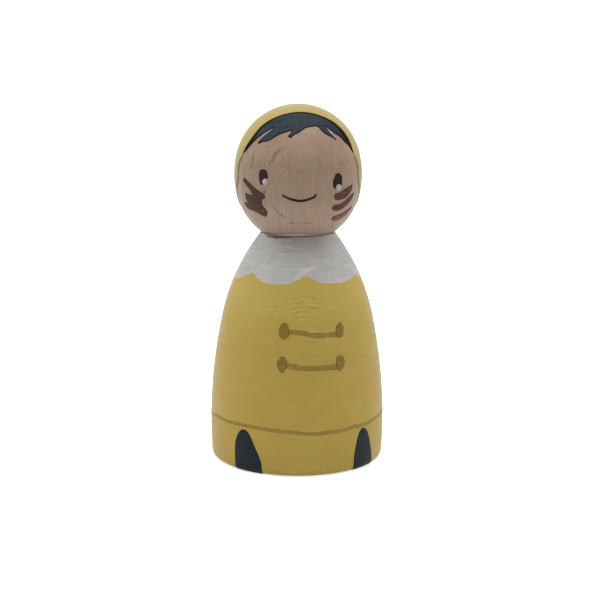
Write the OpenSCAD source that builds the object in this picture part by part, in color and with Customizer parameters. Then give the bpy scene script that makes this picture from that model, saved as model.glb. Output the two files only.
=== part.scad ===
// Turned wooden peg doll in a hooded coat, about 80 mm tall.
// Z is up, the doll stands on Z = 0 about the origin and faces -Y.
// The head is an oval of arcs, the body a shoulder arc on a long side arc.
// Every painted patch is a thin solid of its own, lying on what it is painted on.

/* [Head] */
// Widest breadth of the turned head
head_w = 28.6; // [28.6:0.1:30]
// Height of the whole oval, before its foot is cut flat at the neck
head_h = 31.2; // [30:0.1:32.4]
// Radius of the round crown and chin of the oval
head_cap_r = 14.1; // [13.8:0.05:14.15]
// Breadth of the flat that sits on the neck
head_foot_w = 16.3; // [15.3:0.1:17.3]

/* [Body] */
// Widest breadth of the body, near the ground
body_w = 39.8; // [38:0.1:42]
// Height of the body from the ground to the flat of its neck
body_h = 51.5; // [50:0.25:52.5]
// Height of the widest place above the ground
belly_z = 7.6; // [5:0.2:10]
// Radius of the long curve of the coat's side
side_r = 116.5; // [108:0.5:130]
// Radius of the shoulder curve
shoulder_r = 46.8; // [44:0.2:50]
// Depth of the shoulder curve's centre below the neck
shoulder_drop = 28.7; // [27:0.1:30]
// Radius of the small round at the foot of the body
foot_r = 1.4; // [0.8:0.1:2]

/* [Neck joint] */
// Diameter of the hidden fluted dowel
dowel_d = 8; // [6:0.25:9]
// Length of the dowel
dowel_l = 24; // [18:0.5:26]
// Radius of each flute scooped out of the dowel
flute_r = 0.5; // [0.3:0.05:0.7]
// Chamfer on each end of the dowel
dowel_chamfer = 0.8; // [0.4:0.1:1.2]
// Play between the dowel and its bores, on the radius
dowel_play = 0.05; // [0.02:0.01:0.15]
// Room left over the end of the dowel in the head
end_room = 1; // [0.5:0.1:2]
// Chamfer at the mouth of each bore
bore_chamfer = 0.4; // [0.2:0.05:0.8]
// Thickness of the glue between head and body
glue_t = 0.1; // [0.05:0.01:0.2]
// Radius of the bead of glue squeezed out round the neck
bead_r = 0.38; // [0.34:0.01:0.5]

/* [Paint] */
// Thickness of the paint lying on the wood
film_t = 0.15; // [0.1:0.01:0.25]
// Thickness of a stroke painted on the coat
stroke_t = 0.12; // [0.08:0.01:0.2]
// Height of a raised dot of paint over the wood
dot_t = 0.4; // [0.3:0.02:0.6]
// Height of the coat's lower edge above the ground
coat_foot = 0.3; // [0.2:0.05:0.6]

/* [Hood and hair] */
// How far the hood is turned from the middle of the face, in degrees
hood_turn = 0.5; // [-2:0.5:4]
// Width of the dark line along the edge of the hood
hood_line_w = 0.7; // [0.4:0.05:1]
// Gap between the tips of the fringe and the dark line
hood_line_gap = 0.12; // [0.05:0.01:0.4]
// Depth below the head's centre at which the dark line ends
hood_line_low = 3; // [2:0.1:5]

/* [Face] */
// Breadth of each eye
eye_w = 1.94; // [1.5:0.02:2.4]
// Height of each eye
eye_h = 3.46; // [2.8:0.02:4]
// Distance of the left eye from the middle of the face
left_eye_x = 7.49; // [6.5:0.05:8.2]
// Distance of the right eye from the middle of the face
right_eye_x = 8.58; // [7:0.05:9]
// Depth of the left eye below the head's centre
left_eye_drop = 0.05; // [0:0.05:0.5]
// Depth of the right eye below the head's centre
right_eye_drop = 0.9; // [0.5:0.05:1]
// Breadth of the light dot in each eye
dot_w = 1.38; // [1:0.02:1.7]
// Height of the light dot in each eye
dot_h = 1.6; // [1.2:0.02:2]
// Sideways place of the left dot within its eye
left_dot_x = 0.32; // [0.2:0.01:0.5]
// Sideways place of the right dot within its eye
right_dot_x = 0.33; // [0:0.01:0.4]
// Depth of the left dot below the middle of its eye
left_dot_drop = 0.98; // [0.7:0.02:1.2]
// Depth of the right dot below the middle of its eye
right_dot_drop = 1.34; // [1.1:0.02:1.5]
// Breadth of the smile from corner to corner
mouth_w = 7; // [5:0.1:8]
// Depth of the smile's curve
mouth_sag = 1.38; // [0.8:0.05:2]
// Depth of the corners of the smile below the head's centre
mouth_drop = 3.72; // [3.4:0.05:4.2]
// Thickness of the painted smile
mouth_line = 0.45; // [0.25:0.02:0.5]

/* [Coat] */
// How far the coat's front is turned from the middle of the face, in degrees
coat_turn = 11.2; // [6:0.2:14]
// Depth of the scalloped collar's lowest edge below the neck
collar_drop = 10.05; // [9:0.05:11]
// Height of the points between the scallops over the collar's lowest edge
scallop_h = 1.95; // [1.5:0.05:2.4]
// Distance between the knobs of the upper toggle
upper_toggle_span = 12.4; // [11:0.1:13.5]
// Distance between the knobs of the lower toggle
lower_toggle_span = 13; // [11.5:0.1:14]
// Depth of the upper toggle's knobs below the collar's lowest edge
upper_toggle_drop = 9.55; // [8.5:0.05:11]
// Depth of the lower toggle's knobs below the upper ones
toggle_pitch = 7.1; // [6:0.1:8.5]
// How far the lower toggle lies left of the upper one
toggle_shift = 0.3; // [0:0.05:0.8]
// Breadth of a toggle's knob
knob_w = 2.15; // [1.8:0.05:2.4]
// Height of a toggle's knob
knob_h = 3.6; // [3:0.05:4]
// Width of a toggle's cord
cord_w = 1.1; // [0.8:0.05:1.3]
// Height of the line painted round the hem
hem_z = 10.25; // [10:0.05:11]
// Width of the line painted round the hem
hem_w = 0.8; // [0.5:0.05:1]
// Gap between the hem's line and the top of the boots
boot_gap = 0.1; // [0.05:0.05:1]
// Breadth of each boot at the ground
boot_w = 7.3; // [6:0.1:8.4]
// How far the left boot is turned from the middle of the face, in degrees
left_boot_turn = 32.6; // [28:0.2:37]
// How far the right boot is turned from the middle of the face, in degrees
right_boot_turn = 48.2; // [43:0.2:53]

/* [Hidden] */
$fn = 96;
flutes = 12;
steps = 3;

head_r = head_w / 2;
head_half = head_h / 2;
cap_z = head_half - head_cap_r;
// where two arcs meet, the smaller one stands out by a crease of this many degrees
crease = 1.5;
cap_lean = head_cap_r * cos(crease);
cheek_x = (head_r * head_r + head_cap_r * head_cap_r - cap_z * cap_z
           - cap_lean * head_r * 2) / (head_r - cap_lean) / 2;
cheek_r = head_r - cheek_x;
cheek_top = cap_z + head_cap_r * sin(atan(cap_z / -cheek_x));
foot_drop = cap_z + sqrt(head_cap_r * head_cap_r - head_foot_w * head_foot_w / 4);
head_z = body_h + glue_t + foot_drop;

body_r = body_w / 2;
side_x = body_r - side_r;
// distance between the centres of two arcs that meet in a crease
function apart(r, s, angle) = sqrt(r * r + s * s - r * s * cos(angle) * 2);
shoulder_gap = apart(side_r, shoulder_r, crease);
shoulder_cz = body_h - shoulder_drop;
shoulder_lean = asin((shoulder_cz - belly_z) / shoulder_gap);
shoulder_x = side_x + shoulder_gap * cos(shoulder_lean);
side_top = shoulder_cz + shoulder_r * sin(shoulder_lean);
foot_crease = 7;
foot_gap = apart(side_r, foot_r, foot_crease);
foot_cz = foot_r * cos(foot_crease);
foot_lean = asin((foot_cz - belly_z) / foot_gap);
foot_x = side_x + foot_gap * cos(foot_lean);
side_foot = foot_cz + foot_r * sin(foot_lean);
neck_z = body_h + glue_t / 2;
neck_r = shoulder_x + sqrt(shoulder_r * shoulder_r
                           - (body_h - shoulder_cz) * (body_h - shoulder_cz));

bore_r = dowel_d / 2 + dowel_play;
body_bore = dowel_l / 2;
head_bore = dowel_l - body_bore - glue_t + end_room;
far = body_w + body_h;
press_share = 0.25;
boot_h = hem_z - hem_w / 2 - boot_gap;
collar_low = body_h - collar_drop;
upper_toggle_z = collar_low - upper_toggle_drop;
lower_toggle_z = upper_toggle_z - toggle_pitch;

// Outlines. Head outlines are shares of the head's half breadth and half height.
// A run of points is a smooth edge, and the edge is sharp between runs.
// hood edge from the side: shares of the head's half breadth back, and half height up
hood_shares = [
    [[-0.5, 1.2], [-0.495, 0.87], [-0.475, 0.77], [-0.465, 0.68], [-0.47, 0.57],
     [-0.468, 0.435], [-0.45, 0.3], [-0.38, 0.2], [-0.363, 0.1], [-0.36, 0.01],
     [-0.335, -0.07], [-0.285, -0.14], [-0.18, -0.27], [-0.02, -0.41],
     [0.18, -0.54], [0.42, -0.64], [0.7, -0.69], [1.2, -0.7]],
    [[1.2, -0.7], [2, -0.7]],
    [[2, -0.7], [2, -2]],
    [[2, -2], [-2, -2]],
    [[-2, -2], [-2, 1.2]],
    [[-2, 1.2], [-0.5, 1.2]],
];
fringe_foot_share = 0.275;
fringe_right_foot_share = 0.305;
fringe_shares = [
    [[-0.882, fringe_foot_share], [-0.756, 0.397], [-0.648, 0.503], [-0.581, 0.552]],
    [[-0.581, 0.552], [-0.48, 0.615], [-0.373, 0.672]],
    [[-0.373, 0.672], [-0.486, 0.57], [-0.6, 0.467]],
    [[-0.6, 0.467], [-0.573, 0.446]],
    [[-0.573, 0.446], [-0.53, 0.475], [-0.444, 0.487], [-0.351, 0.541], [-0.271, 0.583],
     [-0.165, 0.613], [-0.087, 0.637]],
    [[-0.087, 0.637], [-0.12, 0.6], [-0.16, 0.553]],
    [[-0.16, 0.553], [-0.112, 0.53]],
    [[-0.112, 0.53], [-0.06, 0.575], [0.008, 0.602], [0.087, 0.656], [0.154, 0.68],
     [0.247, 0.692], [0.301, 0.688]],
    [[0.301, 0.688], [0.367, 0.62], [0.446, 0.571], [0.514, 0.545], [0.569, 0.505]],
    [[0.569, 0.505], [0.529, 0.56], [0.475, 0.618], [0.422, 0.685]],
    [[0.422, 0.685], [0.489, 0.64], [0.565, 0.59], [0.637, 0.548], [0.72, 0.47],
     [0.79, 0.4], [0.862, fringe_right_foot_share]],
    [[0.862, fringe_right_foot_share], [0.89, fringe_right_foot_share]],
    [[0.89, fringe_right_foot_share], [0.89, 1.2]],
    [[0.89, 1.2], [-0.91, 1.2]],
    [[-0.91, 1.2], [-0.91, fringe_foot_share]],
    [[-0.91, fringe_foot_share], [-0.882, fringe_foot_share]],
];
// collar edge: degrees from the middle of the face, and share of the scallop's height
collar_shares = [
    [[-104, 1], [-96, 0.25], [-86, 0.02], [-76, 0], [-68, 0.1], [-60, 0.4], [-48, 1.05]],
    [[-48, 1.05], [-39, 0.55], [-33, 0.22], [-27, 0.06], [-18, 0.03], [-8, 0.15], [0, 0.5],
     [9, 1]],
    [[9, 1], [16, 0.5], [21, 0.22], [28, 0.08], [37, 0.06], [46, 0.1], [55, 0.27], [66, 0.55]],
    [[66, 0.55], [75, 0.3], [84, 0.08], [95, 0], [106, 0.12], [116, 0.5], [126, 1]],
    [[126, 1], [135, 0.45], [146, 0.08], [158, 0], [171, 0.1], [181, 0.45], [190, 1]],
    [[190, 1], [200, 0.4], [211, 0.06], [223, 0], [235, 0.1], [246, 0.45], [256, 1]],
];
left_cheek_shares = [
    [[-0.848, -0.046], [-0.832, -0.03], [-0.802, -0.045], [-0.725, -0.107], [-0.659, -0.158],
     [-0.577, -0.208], [-0.512, -0.25], [-0.502, -0.294], [-0.548, -0.318]],
    [[-0.548, -0.318], [-0.549, -0.358], [-0.536, -0.407], [-0.477, -0.471], [-0.469, -0.52],
     [-0.493, -0.567], [-0.574, -0.54], [-0.653, -0.502], [-0.75, -0.479],
     [-0.805, -0.441], [-0.833, -0.374]],
    [[-0.833, -0.374], [-0.774, -0.392]],
    [[-0.774, -0.392], [-0.807, -0.314], [-0.813, -0.235]],
    [[-0.813, -0.235], [-0.763, -0.255], [-0.722, -0.265], [-0.707, -0.245],
     [-0.741, -0.187], [-0.797, -0.131], [-0.836, -0.08], [-0.848, -0.046]],
];
right_cheek_upper_shares = [
    [[0.839, -0.113], [0.838, -0.165], [0.812, -0.219], [0.772, -0.272], [0.717, -0.306],
     [0.65, -0.322], [0.592, -0.325], [0.557, -0.29], [0.566, -0.236], [0.61, -0.223],
     [0.668, -0.201], [0.752, -0.155], [0.839, -0.113]],
];
right_cheek_middle_shares = [
    [[0.866, -0.227], [0.858, -0.274], [0.832, -0.327], [0.784, -0.382], [0.728, -0.43],
     [0.664, -0.465], [0.61, -0.48], [0.556, -0.476], [0.525, -0.443], [0.546, -0.4],
     [0.6, -0.387], [0.66, -0.377], [0.716, -0.348], [0.768, -0.311], [0.822, -0.264],
     [0.866, -0.227]],
];
right_cheek_lower_shares = [
    [[0.849, -0.426], [0.83, -0.468], [0.79, -0.511], [0.752, -0.547], [0.706, -0.582],
     [0.656, -0.609], [0.6, -0.628], [0.55, -0.628], [0.524, -0.602], [0.534, -0.574],
     [0.575, -0.552], [0.64, -0.536], [0.698, -0.515], [0.755, -0.489], [0.804, -0.459],
     [0.849, -0.426]],
];
// eye and dot outlines are shares of their own half sizes
left_eye_shares = [
    [[0.02, 1], [-0.6, 0.9], [-0.95, 0.58], [-0.98, 0.1], [-0.95, -0.35], [-0.8, -0.76],
     [-0.5, -0.98], [0.02, -0.9], [0.65, -0.5], [1, 0], [0.96, 0.42], [0.58, 0.83], [0.02, 1]],
];
right_eye_shares = [
    [[0.46, 1.03], [0, 0.98], [-0.4, 0.86], [-0.68, 0.5], [-0.96, 0.1], [-1, -0.38],
     [-0.62, -0.98], [0, -0.9], [0.55, -0.85], [1, -0.5], [1.1, 0.08], [0.97, 0.62], [0.46, 1.03]],
];
left_dot_shares = [
    [[0, 1], [-0.7, 0.72], [-1, 0.05], [-0.74, -0.68], [-0.05, -1], [0.7, -0.74], [1, 0],
     [0.72, 0.7], [0, 1]],
];
right_dot_shares = [
    [[0.1, 1], [-0.58, 0.75], [-0.92, 0.1], [-0.8, -0.66], [-0.18, -1.15], [0.52, -0.88],
     [0.93, -0.05], [0.74, 0.68], [0.1, 1]],
];
// stroke paths: place along, place up, and thickness share
mouth_shares = [
    [-0.96, 0, 0.7], [-0.84, -0.29, 0.9], [-0.53, -0.64, 1.05], [-0.27, -0.84, 1.15],
    [0.14, -1, 1.2], [0.57, -0.82, 1.1], [0.88, -0.54, 1.05], [1.05, -0.33, 1.05],
    [1.09, 0.18, 0.6],
];
upper_cord_shares = [
    [-0.93, -0.04, 0.95], [-0.79, -0.08, 0.85], [-0.57, -0.14, 0.85], [-0.34, -0.2, 1], [-0.19, -0.36, 0.85],
    [-0.06, -0.47, 0.75], [0.06, -0.52, 0.95], [0.21, -0.57, 1.05], [0.36, -0.58, 0.9],
    [0.48, -0.57, 0.65], [0.62, -0.52, 0.85], [0.87, -0.57, 1.1],
];
lower_cord_shares = [
    [-0.88, -0.1, 0.9], [-0.62, -0.25, 1], [-0.38, -0.4, 0.85], [-0.1, -0.44, 1],
    [0.18, -0.47, 1.02], [0.45, -0.46, 1.08], [0.74, -0.46, 1.1], [0.88, -0.4, 1.1],
];
// knob and boot outlines are shares of their own half sizes
upper_left_knob_shares = [
    [[-1, -0.05], [-0.72, 0.5], [0, 1], [0.72, 0.81], [0.98, 0.31], [1, -0.2], [0.9, -0.62],
     [-0.05, -1], [-0.72, -0.75], [-1, -0.45], [-1, -0.05]],
];
lower_left_knob_shares = [
    [[-1, 0.08], [-0.74, 0.52], [0.1, 1], [0.74, 0.71], [1, 0.27], [0.95, -0.11],
     [0.74, -0.43], [0.26, -0.87], [-0.26, -1], [-0.68, -0.62], [-0.95, -0.24], [-1, 0.08]],
];
upper_right_knob_shares = [
    [[0.25, 0.86], [0.53, 0.58], [0.88, 0.25], [0.86, -0.42], [0.6, -0.85], [-0.1, -1],
     [-0.75, -0.8], [-0.92, -0.42], [-0.9, 0.1], [-0.65, 0.55], [0.25, 0.86]],
];
lower_right_knob_shares = [
    [[-1, 0.35], [-0.7, 0.8], [0.4, 0.78], [0.95, 0.25], [0.84, -0.32], [0.1, -0.95],
     [-0.72, -0.86], [-1, -0.35], [-1, 0.35]],
];
left_boot_shares = [
    [[-1, -0.2], [-1, 0.2], [-0.995, 0.5], [-0.936, 0.68], [-0.8, 0.82], [-0.6, 0.94],
     [-0.27, 1], [0.02, 0.96], [0.2, 0.88], [0.38, 0.76], [0.6, 0.585], [0.83, 0.41],
     [0.955, 0.23], [1, -0.2]],
    [[1, -0.2], [-1, -0.2]],
];
right_boot_shares = [
    [[-0.85, -0.2], [-0.84, 0.2], [-0.8, 0.424], [-0.705, 0.604], [-0.58, 0.78],
     [-0.42, 0.9], [-0.2, 0.97], [-0.06, 0.97]],
    [[-0.06, 0.97], [0.12, 0.94]],
    [[0.12, 0.94], [0.32, 0.87], [0.48, 0.75], [0.64, 0.586], [0.8, 0.38], [0.92, 0.17],
     [0.96, -0.2]],
    [[0.96, -0.2], [-0.85, -0.2]],
];

// a point of a smooth run between its second and third points
function between(a, b, c, d, t) =
    ((b * 2) + (c - a) * t + (a * 2 - b * 5 + c * 4 - d) * t * t
     + (b * 3 - a - c * 3 + d) * t * t * t) / 2;

// the points of one smooth run, without its last
function run_points(run, n) =
    [for (i = [0:len(run) - 2], k = [0:n - 1])
        between(run[max(i - 1, 0)], run[i], run[i + 1], run[min(i + 2, len(run) - 1)], k / n)];

// the points of an edge made of several runs, measured in half breadths and half heights
function edge_points(edge, half_w, half_h) =
    [for (run = edge, p = len(run) == 2 ? [run[0]] : run_points(run, steps))
        [p[0] * half_w, p[1] * half_h]];

// unit normal of a path at a point
function side_of(path, i) =
    let (d = path[min(i + 1, len(path) - 1)] - path[max(i - 1, 0)], l = norm([d[0], d[1]]))
    [-d[1] / l, d[0] / l];

// outline of a stroke of changing thickness along a path
function stroke_points(path) = concat(
    [for (i = [0:len(path) - 1]) [path[i][0], path[i][1]] + side_of(path, i) * path[i][2] / 2],
    [for (i = [len(path) - 1:-1:0])
        [path[i][0], path[i][1]] - side_of(path, i) * path[i][2] / 2]);

// a path in real sizes, smoothed
function real_path(path, half_w, half_h, line) =
    [for (p = concat(run_points(path, steps), [path[len(path) - 1]]))
        [p[0] * half_w, p[1] * half_h, p[2] * line]];

// half of the head's section, grown outwards by a film
module head_face(grow) {
    translate([0, head_z])
        intersection() {
            union() {
                intersection() {
                    translate([cheek_x, 0])
                        circle(r = cheek_r + grow);
                    translate([0, -cheek_top])
                        square([far, cheek_top * 2]);
                }
                for (side = [-1, 1])
                    translate([0, side * cap_z])
                        circle(r = head_cap_r + grow);
            }
            translate([0, -foot_drop])
                square([far, far]);
        }
}

// half of the body's section, grown outwards by a film
module body_face(grow) {
    intersection() {
        union() {
            intersection() {
                translate([side_x, belly_z])
                    circle(r = side_r + grow);
                translate([0, side_foot])
                    square([far, side_top - side_foot]);
            }
            translate([shoulder_x, shoulder_cz])
                circle(r = shoulder_r + grow);
            square([foot_x, belly_z]);
            translate([foot_x, foot_cz])
                circle(r = foot_r + grow);
        }
        square([far, body_h]);
    }
}

// turned about the doll's axis, with the seam of the turning at the back
module turned() {
    rotate([0, 0, 90])
        rotate_extrude()
            children();
}

// a skin of paint on the head between two thicknesses
module head_skin(from, to) {
    turned()
        difference() {
            head_face(to);
            head_face(from);
        }
}

// a skin of paint on the body between two thicknesses, within a band of heights
module body_skin(from, to, low, high) {
    turned()
        intersection() {
            difference() {
                body_face(to);
                body_face(from);
            }
            translate([0, low])
                square([far, high - low]);
        }
}

// a flat outline in front of the doll, pressed backwards almost to the middle
module pressed(turn = 0, z = 0) {
    rotate([0, 0, turn])
        translate([0, -head_r * press_share, z])
            rotate([90, 0, 0])
                linear_extrude(far)
                    children();
}

// everything in front of the hood's edge, drawn from the side
module face_reach() {
    translate([0, 0, head_z])
        rotate([90, 0, 90 + hood_turn])
            linear_extrude(far * 2, center = true)
                polygon(edge_points(hood_shares, head_r, head_half));
}

module hood() {
    color([0.79, 0.68, 0.4])
        difference() {
            head_skin(0, film_t);
            face_reach();
        }
}

// the dark line along the hood's edge, on one side
module hood_line(side) {
    difference() {
        intersection() {
            head_skin(0, film_t);
            face_reach();
            translate([side < 0 ? -far : 0, -far, head_z - hood_line_low])
                cube([far, far * 2, hood_line_low + fringe_foot_share * head_half - hood_line_gap]);
        }
        translate([0, -hood_line_w, 0])
            face_reach();
    }
}

module hood_line_left() {
    color([0.45, 0.4, 0.22])
        hood_line(-1);
}

module hood_line_right() {
    color([0.45, 0.4, 0.22])
        hood_line(1);
}

module hair_fringe() {
    color([0.17, 0.2, 0.23])
        intersection() {
            head_skin(0, film_t);
            pressed(0, head_z)
                polygon(edge_points(fringe_shares, head_r, head_half));
            face_reach();
        }
}

// a patch painted on the face, its outline in shares of the head
module face_patch(edge) {
    intersection() {
        head_skin(0, film_t);
        pressed(0, head_z)
            polygon(edge_points(edge, head_r, head_half));
    }
}

// an outline of given size, set sideways and below the head's centre
module stamp(shares, w, h, x, drop) {
    translate([x, -drop])
        polygon(edge_points(shares, w / 2, h / 2));
}

module left_eye_outline() {
    stamp(left_eye_shares, eye_w, eye_h, -left_eye_x, left_eye_drop);
}

module right_eye_outline() {
    stamp(right_eye_shares, eye_w, eye_h, right_eye_x, right_eye_drop);
}

module left_dot_outline() {
    stamp(left_dot_shares, dot_w, dot_h, left_dot_x - left_eye_x,
          left_eye_drop + left_dot_drop);
}

module right_dot_outline() {
    stamp(right_dot_shares, dot_w, dot_h, right_eye_x + right_dot_x,
          right_eye_drop + right_dot_drop);
}

module left_eye() {
    color([0.13, 0.1, 0.11])
        intersection() {
            head_skin(0, film_t);
            pressed(0, head_z)
                difference() {
                    left_eye_outline();
                    left_dot_outline();
                }
        }
}

module right_eye() {
    color([0.13, 0.1, 0.11])
        intersection() {
            head_skin(0, film_t);
            pressed(0, head_z)
                difference() {
                    right_eye_outline();
                    right_dot_outline();
                }
        }
}

module left_eye_dot() {
    color([0.86, 0.82, 0.8])
        intersection() {
            head_skin(0, dot_t);
            pressed(0, head_z)
                left_dot_outline();
        }
}

module right_eye_dot() {
    color([0.86, 0.82, 0.8])
        intersection() {
            head_skin(0, dot_t);
            pressed(0, head_z)
                right_dot_outline();
        }
}

module mouth() {
    color([0.2, 0.12, 0.08])
        intersection() {
            head_skin(0, film_t);
            pressed(0, head_z - mouth_drop)
                polygon(stroke_points(real_path(mouth_shares, mouth_w / 2, mouth_sag,
                                                mouth_line)));
        }
}

module left_cheek() {
    color([0.31, 0.22, 0.19])
        face_patch(left_cheek_shares);
}

module right_cheek_upper() {
    color([0.36, 0.26, 0.21])
        face_patch(right_cheek_upper_shares);
}

module right_cheek_middle() {
    color([0.36, 0.26, 0.22])
        face_patch(right_cheek_middle_shares);
}

module right_cheek_lower() {
    color([0.46, 0.32, 0.28])
        face_patch(right_cheek_lower_shares);
}

// a bore of the neck joint, open downwards
module bore(depth) {
    cylinder(h = depth, r = bore_r);
    cylinder(h = bore_chamfer, r1 = bore_r + bore_chamfer, r2 = bore_r);
}

module head() {
    color([0.68, 0.57, 0.49])
        difference() {
            turned()
                head_face(0);
            translate([0, 0, body_h + glue_t])
                bore(head_bore);
        }
}

module body() {
    color([0.68, 0.57, 0.49])
        difference() {
            turned()
                body_face(0);
            translate([0, 0, body_h])
                mirror([0, 0, 1])
                    bore(body_bore);
        }
}

module neck_dowel() {
    color([0.74, 0.63, 0.5])
        difference() {
            translate([0, 0, body_h - body_bore])
                turned()
                    polygon([[0, 0], [dowel_d / 2 - dowel_chamfer, 0],
                             [dowel_d / 2, dowel_chamfer],
                             [dowel_d / 2, dowel_l - dowel_chamfer],
                             [dowel_d / 2 - dowel_chamfer, dowel_l], [0, dowel_l]]);
            for (i = [0:flutes - 1])
                rotate([0, 0, i * 360 / flutes])
                    translate([dowel_d / 2, 0, 0])
                        cylinder(h = far, r = flute_r);
        }
}

module neck_glue() {
    color([0.24, 0.16, 0.1])
        turned()
            difference() {
                union() {
                    translate([bore_r + bore_chamfer, body_h])
                        square([neck_r - bore_r - bore_chamfer, glue_t]);
                    translate([neck_r, neck_z])
                        circle(r = bead_r);
                }
                head_face(0);
                body_face(film_t);
            }
}

// the collar's edge as seen from above, out to the painted shoulder
function collar_points() =
    [for (run = collar_shares, p = run_points(run, steps))
        let (r = shoulder_width(collar_low + p[1] * scallop_h))
        [r * sin(p[0]), -r * cos(p[0])]];

// radius of the painted shoulder at a height
function shoulder_width(z) =
    shoulder_x + sqrt((shoulder_r + film_t) * (shoulder_r + film_t)
                      - (z - shoulder_cz) * (z - shoulder_cz));

// everything inside the scalloped edge of the collar
module collar_reach() {
    translate([0, 0, collar_low - scallop_h])
        linear_extrude(far)
            polygon(collar_points());
}

module collar() {
    color([0.74, 0.73, 0.71])
        intersection() {
            body_skin(0, film_t, coat_foot, body_h);
            collar_reach();
        }
}

module coat() {
    color([0.72, 0.62, 0.33])
        difference() {
            body_skin(0, film_t, coat_foot, body_h);
            collar_reach();
        }
}

// a cord drawn between two knobs, less the knobs themselves
module cord(path, left_edge, right_edge, span, shift, z) {
    intersection() {
        body_skin(film_t, film_t + stroke_t, coat_foot, collar_low);
        pressed(coat_turn, z)
            difference() {
                translate([shift, 0])
                    polygon(stroke_points(real_path(path, span / 2, knob_h / 2, cord_w)));
                knob_outline(left_edge, shift - span / 2);
                knob_outline(right_edge, shift + span / 2);
            }
    }
}

module knob_outline(edge, x) {
    translate([x, 0])
        polygon(edge_points(edge, knob_w / 2, knob_h / 2));
}

module knob(edge, x, z) {
    intersection() {
        body_skin(film_t, film_t + stroke_t, coat_foot, collar_low);
        pressed(coat_turn, z)
            knob_outline(edge, x);
    }
}

module upper_toggle_cord() {
    color([0.52, 0.42, 0.17])
        cord(upper_cord_shares, upper_left_knob_shares, upper_right_knob_shares,
             upper_toggle_span, 0, upper_toggle_z);
}

module upper_toggle_left_knob() {
    color([0.52, 0.42, 0.17])
        knob(upper_left_knob_shares, -upper_toggle_span / 2, upper_toggle_z);
}

module upper_toggle_right_knob() {
    color([0.52, 0.42, 0.17])
        knob(upper_right_knob_shares, upper_toggle_span / 2, upper_toggle_z);
}

module lower_toggle_cord() {
    color([0.52, 0.42, 0.17])
        cord(lower_cord_shares, lower_left_knob_shares, lower_right_knob_shares,
             lower_toggle_span, -toggle_shift, lower_toggle_z);
}

module lower_toggle_left_knob() {
    color([0.52, 0.42, 0.17])
        knob(lower_left_knob_shares, -toggle_shift - lower_toggle_span / 2, lower_toggle_z);
}

module lower_toggle_right_knob() {
    color([0.52, 0.42, 0.17])
        knob(lower_right_knob_shares, lower_toggle_span / 2 - toggle_shift, lower_toggle_z);
}

module hem_line() {
    color([0.58, 0.48, 0.22])
        body_skin(film_t, film_t + stroke_t, hem_z - hem_w / 2, hem_z + hem_w / 2);
}

module boot(edge, turn) {
    intersection() {
        body_skin(film_t, film_t + stroke_t, coat_foot, collar_low);
        pressed(turn)
            polygon(edge_points(edge, boot_w / 2, boot_h));
    }
}

module left_boot() {
    color([0.15, 0.18, 0.2])
        boot(left_boot_shares, -left_boot_turn);
}

module right_boot() {
    color([0.15, 0.18, 0.2])
        boot(right_boot_shares, right_boot_turn);
}

head();
body();
neck_dowel();
neck_glue();
hood();
hood_line_left();
hood_line_right();
hair_fringe();
left_eye();
right_eye();
left_eye_dot();
right_eye_dot();
mouth();
left_cheek();
right_cheek_upper();
right_cheek_middle();
right_cheek_lower();
collar();
coat();
upper_toggle_cord();
upper_toggle_left_knob();
upper_toggle_right_knob();
lower_toggle_cord();
lower_toggle_left_knob();
lower_toggle_right_knob();
hem_line();
left_boot();
right_boot();
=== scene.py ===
"""Looks of a hand-painted wooden peg doll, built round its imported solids."""

import math
from functools import partialmethod

import bpy
from mathutils import Matrix, Vector, noise
from mathutils.geometry import convex_hull_2d, delaunay_2d_cdt


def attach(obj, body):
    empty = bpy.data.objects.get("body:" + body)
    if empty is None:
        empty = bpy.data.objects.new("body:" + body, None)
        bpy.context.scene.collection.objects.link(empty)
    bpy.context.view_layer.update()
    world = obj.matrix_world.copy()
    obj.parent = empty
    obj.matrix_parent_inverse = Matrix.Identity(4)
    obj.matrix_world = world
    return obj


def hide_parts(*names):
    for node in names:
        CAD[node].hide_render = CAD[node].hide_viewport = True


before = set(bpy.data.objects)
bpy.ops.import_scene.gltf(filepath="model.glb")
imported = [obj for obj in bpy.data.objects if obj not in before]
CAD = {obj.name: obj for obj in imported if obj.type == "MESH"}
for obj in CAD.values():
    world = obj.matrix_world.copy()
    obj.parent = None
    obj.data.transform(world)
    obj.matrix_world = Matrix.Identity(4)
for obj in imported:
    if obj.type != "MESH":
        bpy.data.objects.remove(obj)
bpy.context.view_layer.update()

bl_info = {
    "name": "Painted peg doll",
    "version": (1, 0, 0),
    "blender": (4, 5, 0),
    "location": "View3D > Sidebar > Peg doll",
    "description": "Wood, paint and stage of a hand-painted peg doll",
    "category": "Object",
}

MM = 0.001
TINY = 1e-9


def linear(red, green, blue):
    """A colour as a paint chart gives it, 0 to 255, as Blender's linear one."""
    def one(value):
        value /= 255
        return value / 12.92 if value <= 0.04045 else ((value + 0.055) / 1.055) ** 2.4
    return (one(red), one(green), one(blue))


def colour(label, text, red, green, blue):
    """A colour that a user of the panel can change."""
    return bpy.props.FloatVectorProperty(
        name=label, description=text, subtype="COLOR", size=3, min=0, max=1,
        default=linear(red, green, blue))


def size(label, text, millimetres):
    """A length in metres that a user of the panel can change."""
    return bpy.props.FloatProperty(
        name=label, description=text, default=millimetres * MM, unit="LENGTH", precision=5)


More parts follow.
